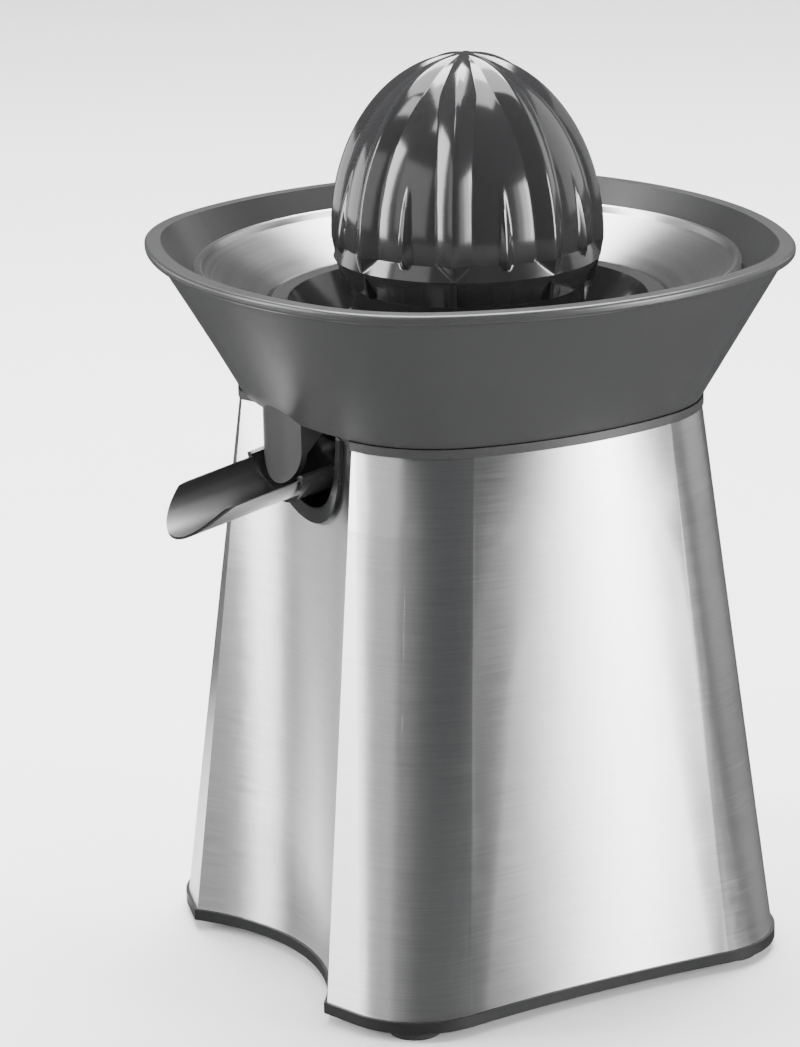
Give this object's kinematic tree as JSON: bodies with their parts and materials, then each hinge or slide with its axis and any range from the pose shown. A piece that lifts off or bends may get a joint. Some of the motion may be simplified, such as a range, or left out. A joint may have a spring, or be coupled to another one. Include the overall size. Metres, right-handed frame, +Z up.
{
  "type": "electric citrus press",
  "caption": "Electric citrus press with a brushed steel body, flared bowl, strainer dish, ribbed black reamer and a tilting steel spout.",
  "frame": {"origin": "on the table, under the middle of the overall box; the reamer's axis stands 3.9 mm behind it", "axes": "+Z up along the reamer's axis, -Y towards the spout, +X to the right seen from the spout"},
  "size_m": [0.189, 0.1968, 0.2794],
  "materials": {
    "sleeve_steel": "brushed, satin",
    "black_gloss": "gloss",
    "grey_satin": "satin",
    "dark_matte": "matte",
    "soft_rubber": "matte",
    "frame_plastic": "matte",
    "gear_plastic": "natural moulded",
    "turned_steel": "turned",
    "laminated_iron": "stacked sheets",
    "winding": "lacquered copper wire",
    "bush_bronze": "sintered",
    "bracket_alloy": "die cast"
  },
  "bodies": {
    "housing": {"steel_shell": "sleeve_steel", "base_tray": "dark_matte", "feet": "soft_rubber", "top_collar": "dark_matte", "inner_frame": "frame_plastic", "shaft_seal": "soft_rubber", "shaft_bush": "bush_bronze", "spout_pocket": "black_gloss", "cord_gland": "soft_rubber", "output_bush": "bush_bronze", "compound_axle": "turned_steel", "gearbox_case": "frame_plastic", "gearbox_cover": "frame_plastic", "upper_bracket": "bracket_alloy", "lower_bracket": "bracket_alloy", "stator_stack": "laminated_iron", "field_coils": "winding", "motor_bushes": "bush_bronze", "base_screws": "turned_steel", "gearbox_screws": "turned_steel", "motor_bolts": "turned_steel", "switch_body": "frame_plastic"},
    "rotor": {"rotor_core": "laminated_iron", "motor_shaft": "turned_steel", "motor_pinion": "turned_steel", "cooling_fan": "frame_plastic"},
    "compound": {"compound_gear": "gear_plastic"},
    "output": {"output_gear": "gear_plastic", "hub_clip": "turned_steel"},
    "shaft": {"drive_shaft": "turned_steel", "return_spring": "turned_steel"},
    "reamer": {"reamer": "black_gloss"},
    "plunger": {"switch_plunger": "frame_plastic"},
    "bowl": {"bowl": "grey_satin"},
    "strainer": {"steel_dish": "sleeve_steel", "strainer_basket": "black_gloss"},
    "spout": {"spout_trough": "sleeve_steel", "spout_carrier": "black_gloss"}
  },
  "joints": [
    {"name": "rotor_spin", "type": "hinge", "parent": "housing", "child": "rotor", "pos_m": [0, 0.0039, 0.084], "axis": [0, 0, 1], "continuous": true},
    {"name": "compound_spin", "type": "hinge", "parent": "housing", "child": "compound", "pos_m": [0, 0.0339, 0.135], "axis": [0, 0, 1], "continuous": true},
    {"name": "output_spin", "type": "hinge", "parent": "housing", "child": "output", "pos_m": [0, 0.0039, 0.145], "axis": [0, 0, 1], "continuous": true},
    {"name": "shaft_press", "type": "slide", "parent": "output", "child": "shaft", "axis": [0, 0, -1], "range_m": [0, 0.0025], "stiffness_N_per_m": 1500, "springref_m": -0.004, "deforming": ["return_spring"]},
    {"name": "reamer_lift", "type": "slide", "parent": "shaft", "child": "reamer", "axis": [0, 0, 1], "range_m": [0, 0.12]},
    {"name": "switch_press", "type": "slide", "parent": "housing", "child": "plunger", "axis": [0, 0, -1], "range_m": [0, 0.003]},
    {"name": "bowl_lift", "type": "slide", "parent": "housing", "child": "bowl", "axis": [0, 0, 1], "range_m": [0, 0.05]},
    {"name": "strainer_lift", "type": "slide", "parent": "bowl", "child": "strainer", "axis": [0, 0, 1], "range_m": [0, 0.03]},
    {"name": "spout_tilt", "type": "hinge", "parent": "housing", "child": "spout", "pos_m": [0, -0.0469, 0.1609], "axis": [-1, 0, 0], "range_deg": [0, 9]}
  ],
  "couplings": [
    {"joint": "compound_spin", "follows": "rotor_spin", "ratio": -0.25},
    {"joint": "output_spin", "follows": "rotor_spin", "ratio": 0.083333},
    {"joint": "switch_press", "follows": "shaft_press", "ratio": 1},
    {"joint": "strainer_lift", "follows": "bowl_lift", "ratio": 0.6},
    {"joint": "reamer_lift", "follows": "bowl_lift", "ratio": 2.4}
  ]
}
